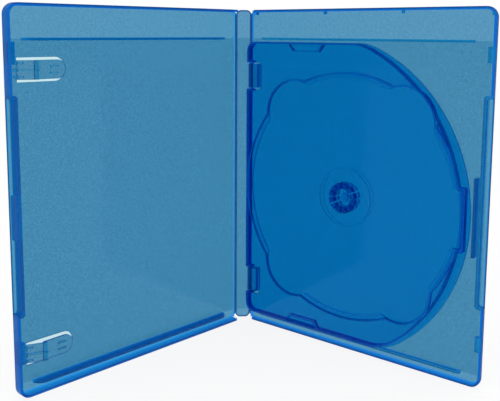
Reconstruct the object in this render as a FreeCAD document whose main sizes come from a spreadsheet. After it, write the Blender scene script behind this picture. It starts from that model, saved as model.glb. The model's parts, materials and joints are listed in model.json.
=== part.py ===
import FreeCAD, Part
import math
import os
import re
import Sketcher

# Hinged video disc case in millimetres, standing open on its bottom edges.
# Each cover is drawn from its own hinge line: u runs outward from the hinge,
# depth runs from the outer face toward the inside, and height runs up.

DIMENSIONS = (
    # Shell, with the spine measured between its two hinge lines
    ("case_height", 171.5),
    ("spine_width", 8.9),
    ("panel", 1.1),
    ("wall", 1.3),
    ("front_depth", 6.0),
    ("back_depth", 3.6),
    ("corner_round", 5.0),
    ("edge_round", 2.4),
    ("fold_angle", 43.2),
    ("rim_start", 3.6),
    ("rim_room", 5.4),
    ("stand_offset", 0.0),
    # Hinges: each rounded edge keeps this reach from its hinge line
    ("hinge_reach", 0.95),
    ("spine_corner", 2.6),
    ("spine_land", 0.1),
    ("cover_corner", 1.0),
    # Stiffening ribs
    ("rib_thick", 1.2),
    ("rib_drop", 0.2),
    ("rib_low", 4.2),
    ("rib_top_gap", 15.7),
    ("rib_front_start", 10.5),
    ("rib_back_start", 8.0),
    ("rib_front_stop", 8.8),
    ("rib_back_stop", 10.4),
    ("rib_front_round", 4.4),
    ("rib_back_round", 1.8),
    # Thumb recess on the opening side
    ("recess_low", 38.3),
    ("recess_top_gap", 39.8),
    ("recess_front", 2.3),
    ("recess_back", 3.0),
    ("recess_ledge", 1.3),
    ("recess_round", 1.4),
    ("recess_pad_lift", 2.25),
    ("recess_pad_half", 9.75),
    ("recess_pad_out", 1.0),
    # Latch blocks behind the opening side
    ("latch_low", 20.4),
    ("latch_top_gap", 20.8),
    ("latch_reach", 2.2),
    ("latch_front_long", 9.4),
    ("latch_back_long", 7.0),
    ("latch_front_top", 5.2),
    ("latch_back_top", 3.3),
    # Gussets under the top rim of the back cover
    ("gusset_first", 5.0),
    ("gusset_last_gap", 2.1),
    ("gusset_thick", 1.0),
    ("gusset_drop", 1.4),
    ("gusset_top", 2.9),
    # Booklet clips on the front cover
    ("clip_low", 17.8),
    ("clip_top_gap", 28.1),
    ("clip_root_room", 6.9),
    ("clip_long", 22.6),
    ("clip_strap", 7.9),
    ("clip_width", 8.3),
    ("clip_gap", 1.1),
    ("clip_thick", 1.0),
    ("clip_strap_top", 4.6),
    ("clip_lobe_top", 3.0),
    ("clip_tip_top", 2.5),
    ("clip_step_run", 0.9),
    ("clip_root_gap", 0.12),
    ("clip_tooth_long", 1.8),
    ("clip_tooth_wide", 1.3),
    ("clip_tooth_pitch", 2.9),
    ("clip_tooth_top", 2.3),
    ("clip_rib_wide", 0.9),
    ("clip_rib_rise", 0.6),
    ("clip_ridge_wide", 0.7),
    ("clip_ridge_long", 4.0),
    ("clip_ridge_pitch", 3.0),
    # Disc and its hub
    ("disc_size", 120.0),
    ("disc_play", 1.4),
    ("hub_margin", 2.5),
    ("hub_drop", 1.8),
    ("hub_ring", 14.8),
    ("hub_ring_wide", 0.5),
    ("hub_ring_rise", 0.3),
    ("hub_outer", 7.3),
    ("hub_bead", 0.4),
    ("hub_bore", 4.9),
    ("hub_top", 7.5),
    ("hub_slit", 0.9),
    ("hub_button", 2.4),
    ("hub_button_rise", 1.0),
    ("rear_hub_top", 3.3),
    # Disc tray
    ("tray_left", 1.4),
    ("tray_low_gap", 0.4),
    ("tray_high_gap", 1.0),
    ("tray_reach", 0.6),
    ("tray_arc_extra", 8.8),
    ("tray_arc_drop", 3.6),
    ("tray_foot_reach", 3.7),
    ("tray_foot_flat", 0.9),
    ("tray_corner", 5.0),
    ("tray_shoulder", 20.0),
    ("tray_edge", 0.45),
    ("tray_top", 6.4),
    ("tray_skin", 0.9),
    ("tray_skirt", 1.0),
    ("tray_base", 2.2),
    ("tray_lip", 0.8),
    # Disc recess
    ("dish_wall", 1.0),
    ("dish_step", 2.2),
    ("dish_chord", 4.5),
    ("dish_under", 3.6),
    ("dish_floor", 4.4),
    ("dish_ledge", 5.0),
    ("scallop_round", 17.1),
    ("scallop_inset", 11.2),
    ("scallop_angle", 52.0),
    # Finger notch of the recess
    ("notch_reach", 1.4),
    ("notch_drop", 1.5),
    ("notch_half", 13.4),
    ("notch_wall", 1.5),
    ("notch_round", 1.0),
    # Edge hollows of the tray
    ("slot_u", 39.5),
    ("slot_wide", 20.4),
    ("slot_narrow", 14.3),
    ("slot_deep", 2.9),
    ("slot_inset", 1.1),
    ("slot_sink", 2.0),
    ("slot_wall", 0.8),
    # Tray hinge
    ("pin_u", 3.0),
    ("pin_depth", 3.6),
    ("pin_round", 0.8),
    ("pin_play", 0.08),
    ("pin_ear", 1.0),
    ("pin_ear_reach", 4.6),
    ("lug_margin", 18.1),
    ("lug_long", 12.6),
    ("lug_gap", 0.75),
    ("lug_left", 1.7),
    ("lug_right", 7.6),
    ("lug_top", 5.2),
    ("lug_side_gap", 2.8),
    # Tray catch on the back cover
    ("catch_gap", 1.8),
    ("catch_thick", 1.1),
    ("catch_half", 18.0),
    ("catch_top", 5.0),
    # Clear sleeve film
    ("film", 0.15),
    ("film_gap", 0.05),
    ("film_low", 4.6),
    ("film_top_gap", 14.9),
    ("film_start", 1.0),
    ("film_stop", 3.0),
    ("film_spine_gap", 1.0),
)

# Sizes that follow from the ones above
WORKED_OUT = {
    "rib_high": "case_height - rib_top_gap",
    "recess_high": "case_height - recess_top_gap",
    "latch_high": "case_height - latch_top_gap",
    "clip_high": "case_height - clip_top_gap",
    "film_high": "case_height - film_top_gap",
    "tray_low": "rib_low + rib_thick + tray_low_gap",
    "tray_high": "rib_high - tray_high_gap",
    "tray_mid": "(tray_low + tray_high) / 2",
    "tray_half": "(tray_high - tray_low) / 2",
    "lug_off": "tray_half - lug_margin",
    "hub_high": "tray_mid - hub_drop",
    "dish_round": "disc_size / 2 + disc_play",
    "dish_floor_round": "dish_round - dish_step",
    "hub_u": "dish_round + hub_margin",
    "dish_end": "hub_u + dish_round",
    "scallop_out": "dish_round - scallop_inset",
    "notch_end": "dish_end + notch_reach",
    "notch_high": "hub_high - notch_drop",
    "tray_arc": "tray_half + tray_arc_extra",
    "tray_arc_u": "dish_end + tray_reach - tray_arc",
    "tray_foot_arc": "tray_arc - tray_foot_flat",
    "tray_foot_end": "dish_end + tray_reach + tray_foot_reach",
    "tray_foot_u": "tray_foot_end - tray_foot_arc",
    "catch_u": "tray_foot_end + catch_gap",
    "cover_width": "catch_u + catch_thick + rim_room",
    "gusset_pitch": "(cover_width - gusset_first - gusset_last_gap) / 3",
    "clip_pivot": "cover_width - clip_root_room",
    "clip_tip": "clip_pivot - clip_long",
    "clip_step": "clip_pivot - clip_strap",
    "clip_root": "clip_pivot + clip_thick / 2 + clip_root_gap",
    "hinge_start": "hinge_reach - panel / 2",
    "spine_edge": "spine_width / 2 - hinge_start",
}

doc = FreeCAD.newDocument("disc_case")
sheet = doc.addObject("Spreadsheet::Sheet", "Dims")
CELLS = {}
for row, (alias, size) in enumerate(DIMENSIONS, start=1):
    sheet.set(f"A{row}", alias)
    sheet.set(f"B{row}", str(size))
    sheet.setAlias(f"B{row}", alias)
    CELLS[alias] = f"B{row}"
doc.recompute()

FRONT = -1
BACK = 1


def bound(text):
    """Point every named size in an expression at the sheet."""
    def place(match):
        name = match[0]
        if name in WORKED_OUT:
            return f"({bound(WORKED_OUT[name])})"
        return f"Dims.{name}" if name in CELLS else name

    return re.sub(r"[a-z][a-z_]*", place, text)


def number(text):
    result = sheet.evalExpression(bound(text))
    return float(getattr(result, "Value", result))


def new_sketch(body, name, role, lift, right="0", up="0"):
    sketch = body.newObject("Sketcher::SketchObject", name)
    base = [item for item in body.Origin.OriginFeatures if item.Role == role][0]
    sketch.AttachmentSupport = [(base, "")]
    sketch.MapMode = "FlatFace"
    sketch.setExpression("AttachmentOffset.Base.x", bound(right))
    sketch.setExpression("AttachmentOffset.Base.y", bound(up))
    sketch.setExpression("AttachmentOffset.Base.z", bound(lift))
    return sketch


def face_sketch(body, name, depth, right="0", up="0"):
    """Sketch seen from the inside of the case, at a depth from the outer face."""
    return new_sketch(body, name, "XZ_Plane", f"({depth}) - panel / 2", right, up)


def section_sketch(body, name, height):
    """Sketch across the case, at a height above the bottom edge."""
    return new_sketch(body, name, "XY_Plane", height)


def inward(depth):
    """Section coordinate of a depth from the outer face."""
    return f"panel / 2 - ({depth})"


def hold(sketch, kind, geometry, place, text):
    index = sketch.addConstraint(Sketcher.Constraint(kind, -1, 1, geometry, place, number(text)))
    sketch.setExpression(f"Constraints[{index}]", bound(text))


def hold_radius(sketch, geometry, text):
    index = sketch.addConstraint(Sketcher.Constraint("Radius", geometry, number(text)))
    sketch.setExpression(f"Constraints[{index}]", bound(text))


def circle(sketch, x, y, radius):
    centre = FreeCAD.Vector(number(x), number(y), 0)
    shape = Part.Circle(centre, FreeCAD.Vector(0, 0, 1), number(radius))
    index = sketch.addGeometry(shape)
    hold(sketch, "DistanceX", index, 3, x)
    hold(sketch, "DistanceY", index, 3, y)
    hold_radius(sketch, index, radius)


def arc_between(start, end, radius, left):
    """Lesser arc from start to end with its centre on the left or the right."""
    chord = end - start
    middle = (start + end) * 0.5
    normal = FreeCAD.Vector(-chord.y, chord.x, 0).normalize()
    rise = math.sqrt(max(radius ** 2 - (chord.Length / 2) ** 2, 0))
    centre = middle + normal * (rise if left else -rise)
    first, last = (start, end) if left else (end, start)
    angles = [math.atan2(p.y - centre.y, p.x - centre.x) for p in (first, last)]
    whole = Part.Circle(centre, FreeCAD.Vector(0, 0, 1), radius)
    return Part.ArcOfCircle(whole, angles[0], angles[1])


def outline(sketch, corners, side=BACK):
    """Closed outline. A corner is (x, y), (x, y, rounding) or, where the edge
    that leaves it is an arc, (x, y, radius, "left" or "right")."""
    count = len(corners)
    xs = [c[0] if side == BACK else f"-({c[0]})" for c in corners]
    points = [FreeCAD.Vector(number(x), number(c[1]), 0) for x, c in zip(xs, corners)]
    rounded = [len(c) == 3 for c in corners]
    leave = list(points)
    arrive = list(points)
    for i in range(count):
        if rounded[i]:
            back = (points[i - 1] - points[i]).normalize()
            ahead = (points[(i + 1) % count] - points[i]).normalize()
            half = math.acos(max(-1, min(1, back.dot(ahead)))) / 2
            run = number(corners[i][2]) / math.tan(half)
            arrive[i] = points[i] + back * run
            leave[i] = points[i] + ahead * run
    edges = []
    for i in range(count):
        start, end = leave[i], arrive[(i + 1) % count]
        if len(corners[i]) == 4:
            left = (corners[i][3] == "left") == (side == BACK)
            index = sketch.addGeometry(arc_between(start, end, number(corners[i][2]), left))
            edges.append((index, 1 if left else 2, 2 if left else 1))
            hold_radius(sketch, index, corners[i][2])
        else:
            edges.append((sketch.addGeometry(Part.LineSegment(start, end)), 1, 2))
    for i in range(count):
        before, _, before_end = edges[i - 1]
        after, after_start, _ = edges[i]
        if not rounded[i]:
            sketch.addConstraint(Sketcher.Constraint("Coincident", before, before_end, after, after_start))
            hold(sketch, "DistanceX", after, after_start, xs[i])
            hold(sketch, "DistanceY", after, after_start, corners[i][1])
            continue
        turn = (points[i] - points[i - 1]).cross(points[(i + 1) % count] - points[i]).z
        shape = arc_between(arrive[i], leave[i], number(corners[i][2]), turn > 0)
        bend = sketch.addGeometry(shape)
        first, last = (1, 2) if turn > 0 else (2, 1)
        sketch.addConstraint(Sketcher.Constraint("Tangent", before, before_end, bend, first))
        sketch.addConstraint(Sketcher.Constraint("Tangent", bend, last, after, after_start))
        hold_radius(sketch, bend, corners[i][2])
        mark = sketch.addGeometry(Part.Point(points[i]), True)
        sketch.addConstraint(Sketcher.Constraint("PointOnObject", mark, 1, before))
        sketch.addConstraint(Sketcher.Constraint("PointOnObject", mark, 1, after))
        hold(sketch, "DistanceX", mark, 1, xs[i])
        hold(sketch, "DistanceY", mark, 1, corners[i][1])


def box(sketch, left, right, low, high, side=BACK):
    outline(sketch, [(left, low), (right, low), (right, high), (left, high)], side)


def pad(body, name, sketch, length):
    feature = body.newObject("PartDesign::Pad", name)
    feature.Profile = sketch
    feature.setExpression("Length", bound(length))
    return feature


def pocket(body, name, sketch, length):
    feature = body.newObject("PartDesign::Pocket", name)
    feature.Profile = sketch
    feature.setExpression("Length", bound(length))
    return feature


def fillet(body, name, feature, radius, wanted):
    """Round the edges of a feature that the test picks."""
    doc.recompute()
    names = [f"Edge{i}" for i, edge in enumerate(feature.Shape.Edges, start=1) if wanted(edge)]
    rounding = body.newObject("PartDesign::Fillet", name)
    rounding.Base = (feature, names)
    rounding.setExpression("Radius", bound(radius))
    feature.Visibility = False
    return rounding


def new_body(label):
    body = doc.addObject("PartDesign::Body", label)
    body.Label = label
    return body


def lies_at(edge, y):
    return abs(edge.BoundBox.YMin - y) < 1e-4 and abs(edge.BoundBox.YMax - y) < 1e-4


# Shell covers
def cover(label, side, kind):
    body = new_body(label)
    depth = f"{kind}_depth"
    recess = f"recess_{kind}"
    block = face_sketch(body, "block_outline", "0")
    outline(block, [
        ("hinge_start", "0"),
        ("cover_width", "0", "corner_round"),
        ("cover_width", "case_height", "corner_round"),
        ("hinge_start", "case_height"),
    ], side)
    shell = pad(body, "block", block, depth)
    hinge_x = side * number("hinge_start")
    outside = number("panel") / 2
    shell = fillet(body, "outer_rounding", shell, "edge_round", lambda edge: lies_at(edge, outside)
                   and abs(edge.CenterOfMass.x - hinge_x) > 0.01)

    inner = f"cover_width - {recess} - wall"
    hollow = face_sketch(body, "hollow_outline", depth)
    outline(hollow, [
        ("hinge_start - 2", "-2"),
        ("rim_start", "-2"),
        ("rim_start", "wall"),
        ("cover_width - wall", "wall", "corner_round - wall"),
        ("cover_width - wall", "recess_low - wall"),
        (inner, "recess_low - wall", "recess_round"),
        (inner, "recess_high + wall", "recess_round"),
        ("cover_width - wall", "recess_high + wall"),
        ("cover_width - wall", "case_height - wall", "corner_round - wall"),
        ("rim_start", "case_height - wall"),
        ("rim_start", "case_height + 2"),
        ("hinge_start - 2", "case_height + 2"),
    ], side)
    pocket(body, "hollow", hollow, f"{depth} - panel")

    step = f"cover_width - {recess}"
    thumb = face_sketch(body, "thumb_outline", depth)
    corners = [(step, "recess_low", "recess_round"), ("cover_width + 2", "recess_low"),
               ("cover_width + 2", "recess_high"), (step, "recess_high", "recess_round")]
    if side == FRONT:
        raised = f"{step} + recess_pad_out"
        pad_low = "hub_high + recess_pad_lift - recess_pad_half"
        pad_high = "hub_high + recess_pad_lift + recess_pad_half"
        corners += [(step, pad_high), (raised, pad_high), (raised, pad_low), (step, pad_low)]
    outline(thumb, corners, side)
    pocket(body, "thumb_recess", thumb, f"{depth} - recess_ledge")

    rib_start = f"rib_{kind}_start"
    rib_end = f"cover_width - rib_{kind}_stop"
    rib_round = f"rib_{kind}_round"
    for name, height in (("low_rib", "rib_low"), ("high_rib", "rib_high")):
        rib = section_sketch(body, f"{name}_outline", height)
        outline(rib, [
            (rib_start, inward("panel - 0.3")),
            (rib_start, inward(f"{depth} - rib_drop"), rib_round),
            (rib_end, inward(f"{depth} - rib_drop"), rib_round),
            (rib_end, inward("panel - 0.3")),
        ], side)
        pad(body, name, rib, "rib_thick")

    blocks = face_sketch(body, "latch_outline", "panel - 0.3")
    for height in ("latch_low", "latch_high"):
        half = f"latch_{kind}_long / 2"
        box(blocks, "cover_width - wall - latch_reach", "cover_width - wall / 2",
            f"{height} - {half}", f"{height} + {half}", side)
    pad(body, "latches", blocks, f"latch_{kind}_top - panel + 0.3")

    relief = face_sketch(body, "hinge_corner_outline", "panel + 0.5")
    for edge, sign, turn in (("0", "+", "right"), ("case_height", "-", "left")):
        beyond = "-" if sign == "+" else "+"
        outline(relief, [
            ("hinge_start - 1", f"{edge} {beyond} 1"),
            ("hinge_start + cover_corner", f"{edge} {beyond} 1"),
            ("hinge_start + cover_corner", edge, "cover_corner", turn),
            ("hinge_start", f"{edge} {sign} cover_corner"),
            ("hinge_start - 1", f"{edge} {sign} cover_corner"),
        ], side)
    pocket(body, "hinge_corners", relief, "panel + 1")
    nose = section_sketch(body, "hinge_edge_outline", "case_height + 1")
    outline(nose, [
        ("hinge_reach", "panel / 2", "panel / 2", "left"),
        ("hinge_start", "0", "panel / 2", "left"),
        ("hinge_reach", "-panel / 2"),
        ("hinge_reach", "-panel"),
        ("hinge_start - 1", "-panel"),
        ("hinge_start - 1", "panel"),
        ("hinge_reach", "panel"),
    ], side)
    pocket(body, "hinge_edge", nose, "case_height + 2")
    return body


front = cover("front_cover", FRONT, "front")
back = cover("back_cover", BACK, "back")

# Clip openings and clip roots of the front cover
openings = face_sketch(front, "clip_opening_outline", "panel + 0.5")
for height in ("clip_low", "clip_high"):
    reach = "clip_width / 2 + clip_gap"
    outline(openings, [
        ("clip_root", f"{height} + {reach}"),
        (f"clip_tip - clip_gap + {reach}", f"{height} + {reach}", reach, "left"),
        ("clip_tip - clip_gap", height, reach, "left"),
        (f"clip_tip - clip_gap + {reach}", f"{height} - ({reach})"),
        ("clip_root", f"{height} - ({reach})"),
    ], FRONT)
pocket(front, "clip_openings", openings, "panel + 1")
teeth = face_sketch(front, "clip_teeth_outline", "panel - 0.3")
for height in ("clip_low", "clip_high"):
    for step in (-1, 0, 1):
        middle = f"{height} + {step} * clip_tooth_pitch"
        box(teeth, "clip_root", "clip_root + clip_tooth_long",
            f"{middle} - clip_tooth_wide / 2", f"{middle} + clip_tooth_wide / 2", FRONT)
pad(front, "clip_teeth", teeth, "clip_tooth_top - panel + 0.3")


def hub(body, bottom, top):
    """Disc hub: raised ring line, then a slit sleeve with a bead round its top."""
    ring = face_sketch(body, "hub_ring_outline", f"{bottom} - 0.2", "hub_u", "hub_high")
    circle(ring, "0", "0", "hub_ring + hub_ring_wide / 2")
    circle(ring, "0", "0", "hub_ring - hub_ring_wide / 2")
    pad(body, "hub_ring_line", ring, "hub_ring_rise + 0.2")
    sleeve = face_sketch(body, "hub_sleeve_outline", f"{bottom} - 0.2", "hub_u", "hub_high")
    circle(sleeve, "0", "0", "hub_outer")
    pad(body, "hub_sleeve", sleeve, f"{top} - {bottom} + 0.2")
    bead = face_sketch(body, "hub_bead_outline", f"{top} - 2 * hub_bead", "hub_u", "hub_high")
    circle(bead, "0", "0", "hub_outer + hub_bead")
    rim = pad(body, "hub_bead_ring", bead, "2 * hub_bead")
    radius = number("hub_outer + hub_bead")
    rim = fillet(body, "hub_bead_rounding", rim, "hub_bead * 0.9", lambda edge: edge.Closed
                 and hasattr(edge.Curve, "Radius") and abs(edge.Curve.Radius - radius) < 1e-4)
    bore = face_sketch(body, "hub_bore_outline", top, "hub_u", "hub_high")
    circle(bore, "0", "0", "hub_bore")
    pocket(body, "hub_well", bore, f"{top} - {bottom}")
    slit = face_sketch(body, "hub_slit_outline", top, "hub_u", "hub_high")
    box(slit, "hub_bore - 1", "hub_outer + hub_bead + 1", "-hub_slit / 2", "hub_slit / 2")
    cut = pocket(body, "hub_slit_cut", slit, f"{top} - {bottom}")
    doc.recompute()
    pattern = body.newObject("PartDesign::PolarPattern", "hub_slits")
    pattern.Originals = [cut]
    pattern.Axis = (slit, ["N_Axis"])
    pattern.Angle = 360
    pattern.Occurrences = 12
    body.Tip = pattern
    button = face_sketch(body, "hub_button_outline", f"{bottom} - 0.2", "hub_u", "hub_high")
    circle(button, "0", "0", "hub_button")
    dome = pad(body, "hub_button_block", button, "hub_button_rise + 0.2")
    crown = number("hub_button")
    fillet(body, "hub_button_rounding", dome, "hub_button_rise * 0.8", lambda edge: edge.Closed
           and hasattr(edge.Curve, "Radius") and abs(edge.Curve.Radius - crown) < 1e-4
           and edge.CenterOfMass.y < number(inward(f"{bottom} + hub_button_rise / 2")))


# Rear hub, gussets, tray lugs and tray catch of the back cover
hub(back, "panel", "rear_hub_top")
gussets = face_sketch(back, "gusset_outline", "panel - 0.3")
for step in range(3):
    middle = f"gusset_first + {step} * gusset_pitch"
    box(gussets, f"{middle} - gusset_thick / 2", f"{middle} + gusset_thick / 2",
        "case_height - wall - gusset_drop", "case_height - wall / 2")


def under_corner(u):
    """Height of the middle of the rounded top corner's wall."""
    across = f"({u} - cover_width + corner_round)"
    return f"(case_height - corner_round + sqrt((corner_round - wall / 2) ^ 2 - {across} ^ 2))"


# The last gusset stands in the rounded corner and follows it
last = "cover_width - gusset_last_gap"
near = f"{last} - gusset_thick / 2"
far = f"{last} + gusset_thick / 2"
below = f"{under_corner(last)} - wall / 2 - gusset_drop"
outline(gussets, [(near, below), (far, below), (far, under_corner(far)), (near, under_corner(near))])
pad(back, "gussets", gussets, "gusset_top - panel + 0.3")
lugs = face_sketch(back, "lug_outline", "panel - 0.3")
for sign in ("-", "+"):
    middle = f"tray_mid {sign} lug_off"
    box(lugs, "lug_left", "lug_right", f"{middle} - lug_long / 2", f"{middle} + lug_long / 2")
pad(back, "lugs", lugs, "lug_top - panel + 0.3")
for name, sign in (("low", "-"), ("high", "+")):
    bore = section_sketch(back, f"{name}_lug_bore_outline", f"tray_mid {sign} lug_off + lug_long / 2 + 0.2")
    circle(bore, "pin_u", inward("pin_depth"), "pin_round + pin_play")
    pocket(back, f"{name}_lug_bore", bore, "lug_long + 0.4")
catch = face_sketch(back, "catch_outline", "panel - 0.3")
box(catch, "catch_u", "catch_u + catch_thick", "hub_high - catch_half", "hub_high + catch_half")
pad(back, "catch", catch, "catch_top - panel + 0.3")

# Spine: a plate rounded at its corners and all along its edges
spine = new_body("spine")
plate = face_sketch(spine, "spine_outline", "0")
outline(plate, [
    ("-spine_edge", "0", "spine_corner"),
    ("spine_edge", "0", "spine_corner"),
    ("spine_edge", "case_height", "spine_corner"),
    ("-spine_edge", "case_height", "spine_corner"),
])
slab = pad(spine, "spine_panel", plate, "panel")
face = number("panel / 2")
fillet(spine, "spine_edges", slab, "(panel - spine_land) / 2",
       lambda edge: lies_at(edge, face) or lies_at(edge, -face))

# Disc tray: flange, skirt and foot
tray = new_body("disc_tray")


def tray_outline(sketch, inset, arc_u, arc):
    """D outline of the tray, drawn in from the flange edge by an inset."""
    middle = "(tray_mid - tray_arc_drop)"
    reach = f"({arc} - tray_shoulder)"
    low_rise = "(tray_half - tray_arc_drop - tray_shoulder)"
    high_rise = "(tray_half + tray_arc_drop - tray_shoulder)"
    low_run = f"sqrt({reach} ^ 2 - {low_rise} ^ 2)"
    high_run = f"sqrt({reach} ^ 2 - {high_rise} ^ 2)"
    spread = f"({arc} - {inset}) / {reach}"
    shoulder = f"tray_shoulder - {inset}"
    half = f"(tray_half - {inset})"
    outline(sketch, [
        (f"tray_left + {inset}", f"tray_mid - {half}", f"tray_corner - {inset}"),
        (f"{arc_u} + {low_run}", f"tray_mid - {half}", shoulder, "left"),
        (f"{arc_u} + {low_run} * {spread}", f"{middle} - {low_rise} * {spread}",
         f"{arc} - {inset}", "left"),
        (f"{arc_u} + {high_run} * {spread}", f"{middle} + {high_rise} * {spread}", shoulder, "left"),
        (f"{arc_u} + {high_run}", f"tray_mid + {half}"),
        (f"tray_left + {inset}", f"tray_mid + {half}", f"tray_corner - {inset}"),
    ])


flange = face_sketch(tray, "flange_outline", "tray_top - tray_skin")
tray_outline(flange, "0", "tray_arc_u", "tray_arc")
pad(tray, "flange", flange, "tray_skin")
skirt = face_sketch(tray, "skirt_outline", "tray_base")
tray_outline(skirt, "0", "tray_arc_u", "tray_arc")
tray_outline(skirt, "tray_skirt", "tray_arc_u", "tray_arc")
pad(tray, "skirt", skirt, "tray_top - tray_skin / 2 - tray_base")
foot = face_sketch(tray, "foot_outline", "tray_base")
tray_outline(foot, "0", "tray_foot_u", "tray_foot_arc")
tray_outline(foot, "tray_skirt", "tray_arc_u", "tray_arc")
pad(tray, "foot", foot, "tray_lip")

# Disc recess with its ledge and four finger scallops
SCALLOPS = ("scallop_angle", "180 - scallop_angle", "180 + scallop_angle", "-scallop_angle")


def scallops(sketch, radius):
    for angle in SCALLOPS:
        circle(sketch, f"hub_u + scallop_out * cos({angle})", f"hub_high + scallop_out * sin({angle})", radius)


dish = face_sketch(tray, "dish_outline", "dish_under")
circle(dish, "hub_u", "hub_high", "dish_round + dish_wall")
pad(tray, "dish", dish, "tray_top - dish_under")
cups = face_sketch(tray, "scallop_wall_outline", "dish_under")
scallops(cups, "scallop_round + dish_wall")
pad(tray, "scallop_walls", cups, "tray_top - dish_under")
tab = face_sketch(tray, "notch_wall_outline", "dish_under")
tab_half = "(notch_half + notch_wall)"
outline(tab, [
    ("dish_end - dish_round / 2", f"notch_high - {tab_half}"),
    ("notch_end + notch_wall", f"notch_high - {tab_half}", "notch_round"),
    ("notch_end + notch_wall", f"notch_high + {tab_half}", "notch_round"),
    ("dish_end - dish_round / 2", f"notch_high + {tab_half}"),
])
pad(tray, "notch_walls", tab, "tray_top - dish_under")
seat = face_sketch(tray, "seat_outline", "tray_top")
chord_half = "sqrt(dish_round ^ 2 - (hub_u - dish_chord) ^ 2)"
outline(seat, [
    ("dish_chord", f"hub_high - {chord_half}", "dish_round", "left"),
    ("dish_end", "hub_high", "dish_round", "left"),
    ("dish_chord", f"hub_high + {chord_half}"),
])
pocket(tray, "disc_seat", seat, "tray_top - dish_ledge")
floor = face_sketch(tray, "floor_outline", "tray_top")
circle(floor, "hub_u", "hub_high", "dish_floor_round")
pocket(tray, "disc_floor", floor, "tray_top - dish_floor")
fingers = face_sketch(tray, "scallop_outline", "tray_top")
scallops(fingers, "scallop_round")
pocket(tray, "finger_scallops", fingers, "tray_top - dish_floor")
notch = face_sketch(tray, "notch_outline", "tray_top")
box(notch, "dish_end - dish_round / 2", "notch_end", "notch_high - notch_half", "notch_high + notch_half")
pocket(tray, "finger_notch", notch, "tray_top - dish_floor")
hub(tray, "dish_floor", "hub_top")

# Tray openings round the lugs, with ears and pins
gaps = face_sketch(tray, "lug_gap_outline", "tray_top + 0.5")
ears = face_sketch(tray, "ear_outline", "tray_base")
for sign in ("-", "+"):
    middle = f"tray_mid {sign} lug_off"
    half = "lug_long / 2 + lug_gap"
    box(gaps, "tray_left - 1", "lug_right + lug_side_gap", f"{middle} - ({half})", f"{middle} + {half}")
    box(ears, "tray_left", "pin_ear_reach", f"{middle} - ({half}) - pin_ear", f"{middle} - ({half})")
    box(ears, "tray_left", "pin_ear_reach", f"{middle} + {half}", f"{middle} + {half} + pin_ear")
pad(tray, "ears", ears, "tray_top - tray_skin / 2 - tray_base")
pocket(tray, "lug_gaps", gaps, "tray_top - tray_base + 1")
for name, sign in (("low", "-"), ("high", "+")):
    start = f"tray_mid {sign} lug_off - lug_long / 2 - lug_gap - pin_ear / 2"
    pin = section_sketch(tray, f"{name}_pin_outline", start)
    circle(pin, "pin_u", inward("pin_depth"), "pin_round")
    pad(tray, f"{name}_pin", pin, "lug_long + 2 * lug_gap + pin_ear")

# Tapered hollows near the top and bottom edge of the tray, with their walls
def slot_outline(sketch, sign, wall):
    """Tapered outline near one edge of the tray, larger by a wall."""
    rim = f"tray_mid + {sign} * (tray_half - slot_inset + {wall} / 2)"
    inner = f"tray_mid + {sign} * (tray_half - slot_inset - slot_deep - {wall})"
    outline(sketch, [
        (f"slot_u - slot_wide / 2 - {wall}", rim),
        (f"slot_u + slot_wide / 2 + {wall}", rim),
        (f"slot_u + slot_narrow / 2 + {wall}", inner),
        (f"slot_u - slot_narrow / 2 - {wall}", inner),
    ])


slot_walls = face_sketch(tray, "slot_wall_outline", "tray_top - slot_sink - slot_wall")
slots = face_sketch(tray, "slot_outline", "tray_top + 0.5")
for sign in (1, -1):
    slot_outline(slot_walls, sign, "slot_wall")
    slot_outline(slots, sign, "0")
pad(tray, "slot_walls", slot_walls, "slot_sink + slot_wall - tray_skin / 2")
cut = pocket(tray, "edge_slots", slots, "slot_sink + 0.5")
crest = number(inward("tray_top"))
rounds = [number(size) for size in ("tray_arc", "dish_round", "scallop_round")]
fillet(tray, "crest_rounding", cut, "tray_edge", lambda edge: lies_at(edge, crest)
       and hasattr(edge.Curve, "Radius") and min(abs(edge.Curve.Radius - size) for size in rounds) < 1e-4)


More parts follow.
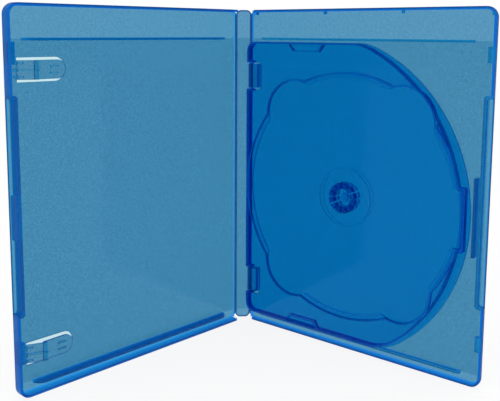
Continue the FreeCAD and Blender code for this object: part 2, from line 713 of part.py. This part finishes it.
# Booklet clips
def clip(label, height):
    body = new_body(label)
    section = section_sketch(body, "clip_section", f"{height} - clip_width / 2")
    slope = "((clip_strap_top - panel / 2 - clip_thick / 2) / clip_strap)"
    bend = "clip_thick / 2 + clip_step_run"
    outline(section, [
        ("clip_pivot", inward("panel / 2 + clip_thick / 2")),
        ("clip_step", inward("clip_strap_top")),
        ("clip_step - clip_step_run", inward("clip_lobe_top")),
        ("clip_tip", inward("clip_tip_top")),
        ("clip_tip", inward("clip_tip_top - clip_thick")),
        ("clip_step + clip_thick / 2", inward("clip_lobe_top - clip_thick")),
        (f"clip_step + {bend}", inward(f"clip_strap_top - clip_thick - {slope} * ({bend})")),
        ("clip_pivot", inward("panel / 2 - clip_thick / 2"), "clip_thick / 2", "left"),
        ("clip_pivot + clip_thick / 2", inward("panel / 2"), "clip_thick / 2", "left"),
    ], FRONT)
    pad(body, "tongue", section, "clip_width")
    for name, step, reach in (("low_tooth", -1, "clip_tooth_long"), ("strap_rib", 0, "clip_strap"),
                              ("high_tooth", 1, "clip_tooth_long")):
        rib = section_sketch(body, f"{name}_outline", f"{height} + {step} * clip_tooth_pitch - clip_rib_wide / 2")
        crest = f"panel / 2 + clip_thick / 2 + {slope} * {reach}"
        outline(rib, [
            ("clip_pivot", inward("panel / 2")),
            ("clip_pivot", inward("panel / 2 + clip_thick / 2 + clip_rib_rise")),
            (f"clip_pivot - {reach}", inward(f"{crest} + clip_rib_rise")),
            (f"clip_pivot - {reach}", inward(f"{crest} - clip_thick / 2")),
        ], FRONT)
        pad(body, name, rib, "clip_rib_wide")
    ridges = face_sketch(body, "ridge_outline", "clip_tip_top - 0.2")
    for step in ("-0.5", "0.5"):
        middle = f"{height} + {step} * clip_ridge_pitch"
        start = "clip_tip + clip_width / 2"
        box(ridges, start, f"{start} + clip_ridge_long", f"{middle} - clip_ridge_wide / 2",
            f"{middle} + clip_ridge_wide / 2", FRONT)
    pad(body, "ridges", ridges, "clip_lobe_top - clip_tip_top + 0.6")
    tip = face_sketch(body, "tip_outline", "clip_strap_top + 1")
    half = "clip_width / 2"
    for sign, beyond, turn in (("+", "1", "right"), ("-", "-1", "left")):
        outline(tip, [
            ("clip_tip - 1", height),
            ("clip_tip", height, half, turn),
            (f"clip_tip + {half}", f"{height} {sign} {half}"),
            (f"clip_tip + {half}", f"{height} {sign} {half} + {beyond}"),
            ("clip_tip - 1", f"{height} {sign} {half} + {beyond}"),
        ], FRONT)
    pocket(body, "round_tip", tip, "clip_strap_top + 2")
    return body


low_clip = clip("lower_booklet_clip", "clip_low")
high_clip = clip("upper_booklet_clip", "clip_high")


# Clear sleeve film over the outside
def film(label, left, right, side):
    body = new_body(label)
    sheet_outline = face_sketch(body, "film_outline", "-film_gap - film")
    box(sheet_outline, left, right, "film_low", "film_high", side)
    pad(body, "film_sheet", sheet_outline, "film")
    return body


film_front = film("sleeve_front", "film_start", "cover_width - film_stop", FRONT)
film_back = film("sleeve_back", "film_start", "cover_width - film_stop", BACK)
film_spine = film("sleeve_spine", "film_spine_gap - spine_width / 2", "spine_width / 2 - film_spine_gap", BACK)

# Standing place of each piece: covers folded at their hinge lines
GROUPS = (
    ((front, low_clip, high_clip, film_front), "-spine_width / 2", "fold_angle"),
    ((back, tray, film_back), "spine_width / 2", "-fold_angle"),
    ((spine, film_spine), "0", "0"),
)
BODIES = [body for group, _, _ in GROUPS for body in group]
for group, across, angle in GROUPS:
    for body in group:
        body.Placement = FreeCAD.Placement(FreeCAD.Vector(), FreeCAD.Rotation(FreeCAD.Vector(0, 0, 1), 10))
        body.setExpression("Placement.Base.x", bound(across))
        body.setExpression("Placement.Base.y", bound("stand_offset"))
        body.setExpression("Placement.Rotation.Angle", bound(angle))
doc.recompute()

# Middle of the footprint over the origin
span = FreeCAD.BoundBox()
for body in BODIES:
    span.add(body.Shape.optimalBoundingBox(False))
sheet.set(CELLS["stand_offset"], str(round(-span.Center.y, 4)))
doc.recompute()

# Every feature sound before writing
for item in doc.Objects:
    if "Invalid" in item.State or "Error" in item.State:
        raise RuntimeError(f"{item.Label} is {item.State}")
for body in BODIES:
    if body.Shape.isNull() or not body.Shape.isValid() or len(body.Shape.Solids) != 1:
        raise RuntimeError(f"{body.Label} has no sound solid")

os.makedirs("parts", exist_ok=True)
for body in BODIES:
    body.Shape.exportStep(f"parts/{body.Label}.step")
    print(body.Label, round(body.Shape.Volume, 1), "cubic mm")
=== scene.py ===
import bpy
import json
import math
from mathutils import Matrix, Vector


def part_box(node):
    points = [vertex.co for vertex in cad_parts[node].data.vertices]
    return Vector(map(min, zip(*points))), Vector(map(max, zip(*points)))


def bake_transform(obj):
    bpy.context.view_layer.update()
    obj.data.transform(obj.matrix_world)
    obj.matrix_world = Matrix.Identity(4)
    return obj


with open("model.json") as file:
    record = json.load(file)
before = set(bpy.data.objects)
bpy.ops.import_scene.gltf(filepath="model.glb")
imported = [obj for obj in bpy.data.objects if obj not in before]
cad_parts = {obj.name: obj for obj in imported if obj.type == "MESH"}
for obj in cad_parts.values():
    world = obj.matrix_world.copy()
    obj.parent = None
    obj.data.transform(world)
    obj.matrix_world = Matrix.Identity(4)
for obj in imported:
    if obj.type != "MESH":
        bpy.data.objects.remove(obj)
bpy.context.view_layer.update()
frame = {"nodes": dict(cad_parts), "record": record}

scene = bpy.context.scene
MM = 0.001

# Fold of each cover, and the directions that the pieces' panels face at rest
FOLD = math.radians(43.2)
FRONT_FACING = (math.sin(FOLD), -math.cos(FOLD), 0)
BACK_FACING = (-math.sin(FOLD), -math.cos(FOLD), 0)
SPINE_FACING = (0, -1, 0)
UPWARD = (0, 0, 1)
WHITE = (1, 1, 1, 1)


def linear(code):
    """sRGB hex colour as a linear RGBA value."""
    parts = [int(code[i:i + 2], 16) / 255 for i in (1, 3, 5)]
    return [p / 12.92 if p <= 0.04045 else ((p + 0.055) / 1.055) ** 2.4 for p in parts] + [1.0]


def add(tree, kind, inputs=(), **settings):
    """One node. Inputs take another node's output or a constant.
    A setting is a property of the node, or else a constant for the input of that name."""
    node = tree.nodes.new(kind)
    for name, value in settings.items():
        if hasattr(node, name):
            setattr(node, name, value)
        else:
            node.inputs[name.replace("_", " ")].default_value = value
    for source, target in inputs:
        if isinstance(source, bpy.types.NodeSocket):
            tree.links.new(source, node.inputs[target])
        else:
            node.inputs[target].default_value = source
    return node


def new_material(name):
    material = bpy.data.materials.new(name)
    material.use_nodes = True
    material.node_tree.nodes.clear()
    return material, material.node_tree


# Moulded plastic
PLASTIC_IOR = 1.3
FLOW_SIZE = 14 * MM
FLOW_HEIGHT = 0.3 * MM
FLOW_STRENGTH = 0.04
GRAIN_SIZE = 0.9 * MM
HAZE_LOW = 0.06
HAZE_HIGH = 0.1
PANEL_LEAN = 0.95
RIM_LEAN = 0.45
ANY_DEPTH = 1.0


def shade_band_mask(tree, point, shade_border):
    """Mask of the painted shade band: 0 on the middle of a plate and 1 on a band along its rounded
    outline.
    """
    middle, turn, inner, near, far = shade_border
    offset = add(tree, "ShaderNodeVectorMath", [(point, 0), (middle, 1)], operation="SUBTRACT")
    level = add(tree, "ShaderNodeVectorRotate", [(offset.outputs[0], "Vector")],
                rotation_type="Z_AXIS", Angle=turn)
    folded = add(tree, "ShaderNodeVectorMath", [(level.outputs[0], 0)], operation="ABSOLUTE")
    past = add(tree, "ShaderNodeVectorMath", [(folded.outputs[0], 0), (inner, 1)], operation="SUBTRACT")
    outside = add(tree, "ShaderNodeVectorMath", [(past.outputs[0], 0)], operation="MAXIMUM")
    reach = add(tree, "ShaderNodeVectorMath", [(outside.outputs[0], 0)], operation="LENGTH")
    return add(tree, "ShaderNodeMapRange", [(reach.outputs["Value"], "Value")],
               From_Min=near, From_Max=far)


def moulded_polypropylene(name, facing, panel, rim_shade, frost, dye, density, sheen, shade_border=None):
    """Clear dyed polypropylene, injection moulded against a polished tool.
    The dye darkens with the depth of plastic that light crosses, so panels look pale and ribs
    look deep. Faces that turn away from the panel's own facing are matt, as moulded edges are,
    and they and a band along the outline of a plate are painted a deeper tint: painted shade for
    light crossing the plastic edge-on. Slow flow waves bend the reflections, and a fine grain
    mottles the colour of the panel."""
    material, tree = new_material(name)
    place = add(tree, "ShaderNodeTexCoord")
    point = place.outputs["Object"]
    flow = add(tree, "ShaderNodeTexNoise", [(point, "Vector")], Scale=1 / FLOW_SIZE, Detail=2.0)
    grain = add(tree, "ShaderNodeTexNoise", [(point, "Vector")], Scale=1 / GRAIN_SIZE, Detail=3.0)
    waves = add(tree, "ShaderNodeBump", [(flow.outputs["Fac"], "Height")],
                Strength=FLOW_STRENGTH, Distance=FLOW_HEIGHT)
    haze = add(tree, "ShaderNodeMapRange", [(flow.outputs["Fac"], "Value")],
               To_Min=HAZE_LOW, To_Max=HAZE_HIGH)
    lean = add(tree, "ShaderNodeVectorMath", [(place.outputs["Normal"], 0), (facing, 1)],
               operation="DOT_PRODUCT")
    level = add(tree, "ShaderNodeMath", [(lean.outputs["Value"], 0)], operation="ABSOLUTE")
    turned = add(tree, "ShaderNodeMapRange", [(level.outputs[0], "Value")],
                 interpolation_type="SMOOTHSTEP",
                 From_Min=PANEL_LEAN, From_Max=RIM_LEAN, To_Min=0.0, To_Max=1.0)
    frost_and_shade_edge = turned.outputs["Result"]
    if shade_border:
        band = shade_band_mask(tree, point, shade_border)
        frost_and_shade_edge = add(tree, "ShaderNodeMath", [(frost_and_shade_edge, 0), (band.outputs["Result"], 1)],
                   operation="MAXIMUM").outputs[0]
    matt = add(tree, "ShaderNodeMath", [(frost_and_shade_edge, 0), (frost, 1), (haze.outputs["Result"], 2)],
               operation="MULTIPLY_ADD")
    mottle = add(tree, "ShaderNodeMixRGB", [(grain.outputs["Fac"], "Fac")],
                 Color1=linear(panel[0]), Color2=linear(panel[1]))
    # Painted shade: the panel tint turns to the deeper rim colour on turned faces and on the outline band
    colour = add(tree, "ShaderNodeMixRGB", [(frost_and_shade_edge, "Fac"), (mottle.outputs["Color"], "Color1")],
                 Color2=linear(rim_shade))
    shell = add(tree, "ShaderNodeBsdfPrincipled",
                [(colour.outputs["Color"], "Base Color"), (waves.outputs["Normal"], "Normal"),
                 (matt.outputs[0], "Roughness")],
                IOR=PLASTIC_IOR, Transmission_Weight=1.0, Specular_Tint=linear(sheen))
    depth = add(tree, "ShaderNodeVolumeAbsorption", Color=linear(dye), Density=density)
    add(tree, "ShaderNodeOutputMaterial",
        [(shell.outputs["BSDF"], "Surface"), (depth.outputs["Volume"], "Volume")])
    return material


# A darker band painted along the spine plate's rounded outline: painted shade of its rounded edge
SPINE_CORNER = 2.6 * MM
SPINE_BORDER = 0.9 * MM
low, high = (Vector(corner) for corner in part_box("spine"))
half = (high - low) / 2
spine_shade_border = ((low + high) / 2, 0.0, (half.x - SPINE_CORNER, ANY_DEPTH, half.z - SPINE_CORNER),
                SPINE_CORNER - SPINE_BORDER, SPINE_CORNER - SPINE_BORDER / 2)

# The ends of the covers' rims get the same painted shade band, for light crossing the whole depth of the
# wall
COVER_WIDE = 137.9 * MM
COVER_CORNER = 5.0 * MM
RIM_INNER = 1.5 * MM
RIM_OUTER = 1.2 * MM
joints = {joint["name"]: joint for joint in frame["record"]["behaviour"]["joints"]}


def cover_shade_border(joint, side):
    """Painted shade band of a cover, from its hinge line, side and width."""
    middle = Vector(joints[joint]["pos_m"])
    middle += Vector((side * math.cos(FOLD), -math.sin(FOLD), 0)) * COVER_WIDE / 2
    inner = (COVER_WIDE / 2 - COVER_CORNER, ANY_DEPTH, half.z - COVER_CORNER)
    return middle, side * FOLD, inner, COVER_CORNER - RIM_INNER, COVER_CORNER - RIM_OUTER


SHELL = {"panel": ("#70809F", "#A8BEDA"), "frost": 0.4, "dye": "#00ECFB", "density": 900,
         "sheen": "#9CC4F0"}
TRAY = {"panel": ("#58D8FD", "#5ADCFD"), "frost": 0.3, "dye": "#00F5FE", "density": 1800,
        "sheen": "#4C8CF0"}
# Rim colours are painted shade for the turned faces and outline bands: deeper on the back cover than on
# the front, deepest on the spine and the hinge webs
front_plastic = moulded_polypropylene("front_moulded_polypropylene", FRONT_FACING, rim_shade="#50AAEC",
                                      shade_border=cover_shade_border("front_hinge", -1), **SHELL)
back_plastic = moulded_polypropylene("back_moulded_polypropylene", BACK_FACING, rim_shade="#3A94E6",
                                     shade_border=cover_shade_border("back_hinge", 1), **SHELL)
clip_plastic = moulded_polypropylene("clip_moulded_polypropylene", FRONT_FACING, rim_shade="#1E78D2", **SHELL)
spine_plastic = moulded_polypropylene("spine_moulded_polypropylene", SPINE_FACING, rim_shade="#0A4A90",
                                      shade_border=spine_shade_border, **SHELL)
# The webs face upward, so all their side faces take this dark painted shade and draw the hinge lines dark
hinge_plastic = moulded_polypropylene("hinge_moulded_polypropylene", UPWARD, rim_shade="#0A4A8C", **SHELL)
tray_plastic = moulded_polypropylene("tray_moulded_polypropylene", BACK_FACING, rim_shade="#1F80DC", **TRAY)

# Sleeve film
FILM_IOR = 1.15
FILM_HAZE = 0.06
SLACK_SIZE = 30 * MM
SLACK_HEIGHT = 0.4 * MM
SLACK_STRENGTH = 0.1


def cast_film():
    """Polypropylene sleeve film, cast and welded on: thin, faintly blue, with slack ripples."""
    material, tree = new_material("sleeve_cast_film")
    place = add(tree, "ShaderNodeTexCoord")
    slack = add(tree, "ShaderNodeTexNoise", [(place.outputs["Object"], "Vector")],
                Scale=1 / SLACK_SIZE, Detail=1.0)
    ripple = add(tree, "ShaderNodeBump", [(slack.outputs["Fac"], "Height")],
                 Strength=SLACK_STRENGTH, Distance=SLACK_HEIGHT)
    gloss = add(tree, "ShaderNodeBsdfPrincipled", [(ripple.outputs["Normal"], "Normal")],
                Base_Color=linear("#CBE8EE"), IOR=FILM_IOR, Roughness=FILM_HAZE, Transmission_Weight=1.0)
    add(tree, "ShaderNodeOutputMaterial", [(gloss.outputs["BSDF"], "Surface")])
    return material


sleeve_film = cast_film()

FINISHES = {
    "front_cover": front_plastic,
    "spine": spine_plastic,
    "back_cover": back_plastic,
    "upper_booklet_clip": clip_plastic,
    "lower_booklet_clip": clip_plastic,
    "disc_tray": tray_plastic,
    "sleeve_front": sleeve_film,
    "sleeve_spine": sleeve_film,
    "sleeve_back": sleeve_film,
}
for node, finish in FINISHES.items():
    mesh = frame["nodes"][node].data
    mesh.materials.clear()
    mesh.materials.append(finish)

# Living hinges: thin moulded webs between the spine and the covers
WEB_THICK = 0.3 * MM
WEB_REACH = 0.38 * MM
WEB_END = 1.6 * MM
SAME_WAY = 0.9


def select_faces(toward):
    """Select only the faces that point a given way."""
    mesh = bpy.context.object.data
    bpy.ops.mesh.select_all(action="DESELECT")
    bpy.ops.object.mode_set(mode="OBJECT")
    for face in mesh.polygons:
        face.select = face.normal.dot(Vector(toward)) > SAME_WAY
    bpy.ops.object.mode_set(mode="EDIT")


def hinge_web(name, joint, side):
    """Flat strip from the spine to the hinge line, bent there toward the cover."""
    line = Vector(joints[joint]["pos_m"])
    low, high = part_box("spine")
    tall = high[2] - low[2] - 2 * WEB_END
    outward = Vector((side * math.cos(FOLD), -math.sin(FOLD), 0))
    bpy.ops.object.select_all(action="DESELECT")
    bpy.ops.mesh.primitive_cube_add(size=1, location=line - Vector((side * WEB_REACH / 2, 0, 0)),
                                    scale=(WEB_REACH, WEB_THICK, tall))
    web = bpy.context.object
    web.name = name
    bpy.ops.object.transform_apply(location=True, scale=True)
    bpy.ops.object.mode_set(mode="EDIT")
    bpy.ops.mesh.select_mode(type="FACE")
    select_faces((side, 0, 0))
    bpy.ops.transform.rotate(value=side * FOLD / 2, orient_axis="Z", center_override=line)
    bpy.ops.mesh.extrude_region_move(TRANSFORM_OT_translate={"value": outward * WEB_REACH})
    bpy.ops.transform.rotate(value=side * FOLD / 2, orient_axis="Z",
                             center_override=line + outward * WEB_REACH)
    bpy.ops.object.mode_set(mode="OBJECT")
    web.data.materials.append(hinge_plastic)
    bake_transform(web)


hinge_web("front_hinge_web", "front_hinge", -1)
hinge_web("back_hinge_web", "back_hinge", 1)

# Pale floor and white surroundings
FLOOR_SIZE = 6.0
FLOOR_DROP = 0.2 * MM
FLOOR_PAGE = 0.85
FIBRE_SIZE = 0.6 * MM
FIBRE_HEIGHT = 0.05 * MM
FIBRE_STRENGTH = 0.05
PAPER_ROUGHNESS = 0.9
ROOM_LIGHT = 0.95
ROOM_FRONT = 0.08
ROOM_FRONT_END = 0.1
ROOM_BACK_START = 0.9


def shown_rays(tree):
    """Light path, and 1 for rays that show the background: straight or through the plastic."""
    path = add(tree, "ShaderNodeLightPath")
    straight = add(tree, "ShaderNodeMath", [(path.outputs["Is Camera Ray"], 0),
                                            (path.outputs["Is Transmission Ray"], 1)], operation="MAXIMUM")
    return path, straight


def white_floor():
    """Matt white paper sweep: shows as paper white and keeps a soft shadow."""
    material, tree = new_material("paper_sweep")
    place = add(tree, "ShaderNodeTexCoord")
    fibre = add(tree, "ShaderNodeTexNoise", [(place.outputs["Object"], "Vector")], Scale=1 / FIBRE_SIZE)
    tooth = add(tree, "ShaderNodeBump", [(fibre.outputs["Fac"], "Height")],
                Strength=FIBRE_STRENGTH, Distance=FIBRE_HEIGHT)
    paper = add(tree, "ShaderNodeBsdfPrincipled", [(tooth.outputs["Normal"], "Normal")],
                Base_Color=linear("#FCFCFC"), Roughness=PAPER_ROUGHNESS)
    page = add(tree, "ShaderNodeEmission", Color=WHITE, Strength=1.0)
    path, straight = shown_rays(tree)
    shown = add(tree, "ShaderNodeMath", [(straight.outputs[0], 0), (path.outputs["Is Glossy Ray"], 1)],
                operation="MAXIMUM")
    share = add(tree, "ShaderNodeMath", [(shown.outputs[0], 0), (FLOOR_PAGE, 1)], operation="MULTIPLY")
    both = add(tree, "ShaderNodeMixShader",
               [(share.outputs[0], "Fac"), (paper.outputs["BSDF"], 1), (page.outputs["Emission"], 2)])
    add(tree, "ShaderNodeOutputMaterial", [(both.outputs[0], "Surface")])
    return material


def studio_world():
    """White background. Reflections see it behind the case and a dim room in front of it."""
    world = bpy.data.worlds.new("studio")
    world.use_nodes = True
    sky = world.node_tree
    sky.nodes.clear()
    path, straight = shown_rays(sky)
    toward = add(sky, "ShaderNodeTexCoord")
    split = add(sky, "ShaderNodeSeparateXYZ", [(toward.outputs["Generated"], "Vector")])
    mirror = add(sky, "ShaderNodeMapRange", [(split.outputs["Y"], "Value")],
                 From_Min=ROOM_FRONT_END, From_Max=ROOM_BACK_START, To_Min=ROOM_FRONT, To_Max=1.0)
    light = add(sky, "ShaderNodeBackground", Color=WHITE, Strength=ROOM_LIGHT)
    room = add(sky, "ShaderNodeBackground", [(mirror.outputs["Result"], "Strength")], Color=WHITE)
    page = add(sky, "ShaderNodeBackground", Color=WHITE, Strength=1.0)
    lit = add(sky, "ShaderNodeMixShader",
              [(path.outputs["Is Glossy Ray"], "Fac"), (light.outputs[0], 1), (room.outputs[0], 2)])
    both = add(sky, "ShaderNodeMixShader",
               [(straight.outputs[0], "Fac"), (lit.outputs[0], 1), (page.outputs[0], 2)])
    add(sky, "ShaderNodeOutputWorld", [(both.outputs[0], "Surface")])
    return world


bpy.ops.object.select_all(action="DESELECT")
bpy.ops.mesh.primitive_plane_add(size=FLOOR_SIZE, location=(0, 0, -FLOOR_DROP))
floor = bpy.context.object
floor.name = "floor"
bpy.ops.object.transform_apply(location=True)
floor.data.materials.append(white_floor())
scene.world = studio_world()

# Two soft boxes, left and right of the camera
CASE_MIDDLE = Vector((0, 0, 0.08))


def soft_box(name, place, width, height, watts):
    """Rectangular lamp turned toward the case and not seen through its plastic."""
    bpy.ops.object.light_add(type="AREA", location=place)
    lamp = bpy.context.object
    lamp.name = name
    lamp.data.shape = "RECTANGLE"
    lamp.data.size = width
    lamp.data.size_y = height
    lamp.data.energy = watts
    lamp.visible_transmission = False
    lamp.rotation_euler = (CASE_MIDDLE - Vector(place)).to_track_quat("-Z", "Y").to_euler()


soft_box("key_box", place=(-0.5, -0.7, 0.75), width=0.5, height=0.35, watts=1.5)
soft_box("side_box", place=(0.7, -0.5, 0.5), width=0.3, height=0.5, watts=0.8)

# Camera of the photograph
WIDE, HIGH = 500, 401
FOCAL_PIXELS = 782.04
LEVEL_ROW = 140.46
SENSOR = 36.0
NEAREST = 10 * MM
EYE = Vector((-20.72, -376.57, 160.01)) * MM
YAW, PITCH, ROLL = (math.radians(angle) for angle in (-3.29, 7.92, -0.33))
right = Vector((math.cos(YAW), math.sin(YAW), 0))
ahead = Vector((-math.sin(YAW), math.cos(YAW), 0))
up = Vector((0, 0, 1))
look = ahead * math.cos(PITCH) - up * math.sin(PITCH)
rise = up * math.cos(PITCH) + ahead * math.sin(PITCH)
across = right * math.cos(ROLL) - rise * math.sin(ROLL)
upward = right * math.sin(ROLL) + rise * math.cos(ROLL)
bpy.ops.object.camera_add()
camera = bpy.context.object
camera.name = "camera"
camera.data.sensor_fit = "HORIZONTAL"
camera.data.sensor_width = SENSOR
camera.data.lens = FOCAL_PIXELS / WIDE * SENSOR
camera.data.shift_y = -(HIGH / 2 - LEVEL_ROW) / WIDE
camera.data.clip_start = NEAREST
turn = Matrix((across, upward, -look)).transposed().to_4x4()
camera.matrix_world = Matrix.Translation(EYE) @ turn
scene.camera = camera

# Light crosses many plastic faces before it leaves the case
BOUNCES = 24
scene.view_settings.view_transform = "Standard"
scene.cycles.max_bounces = BOUNCES
scene.cycles.glossy_bounces = BOUNCES
scene.cycles.transmission_bounces = BOUNCES
scene.cycles.transparent_max_bounces = BOUNCES
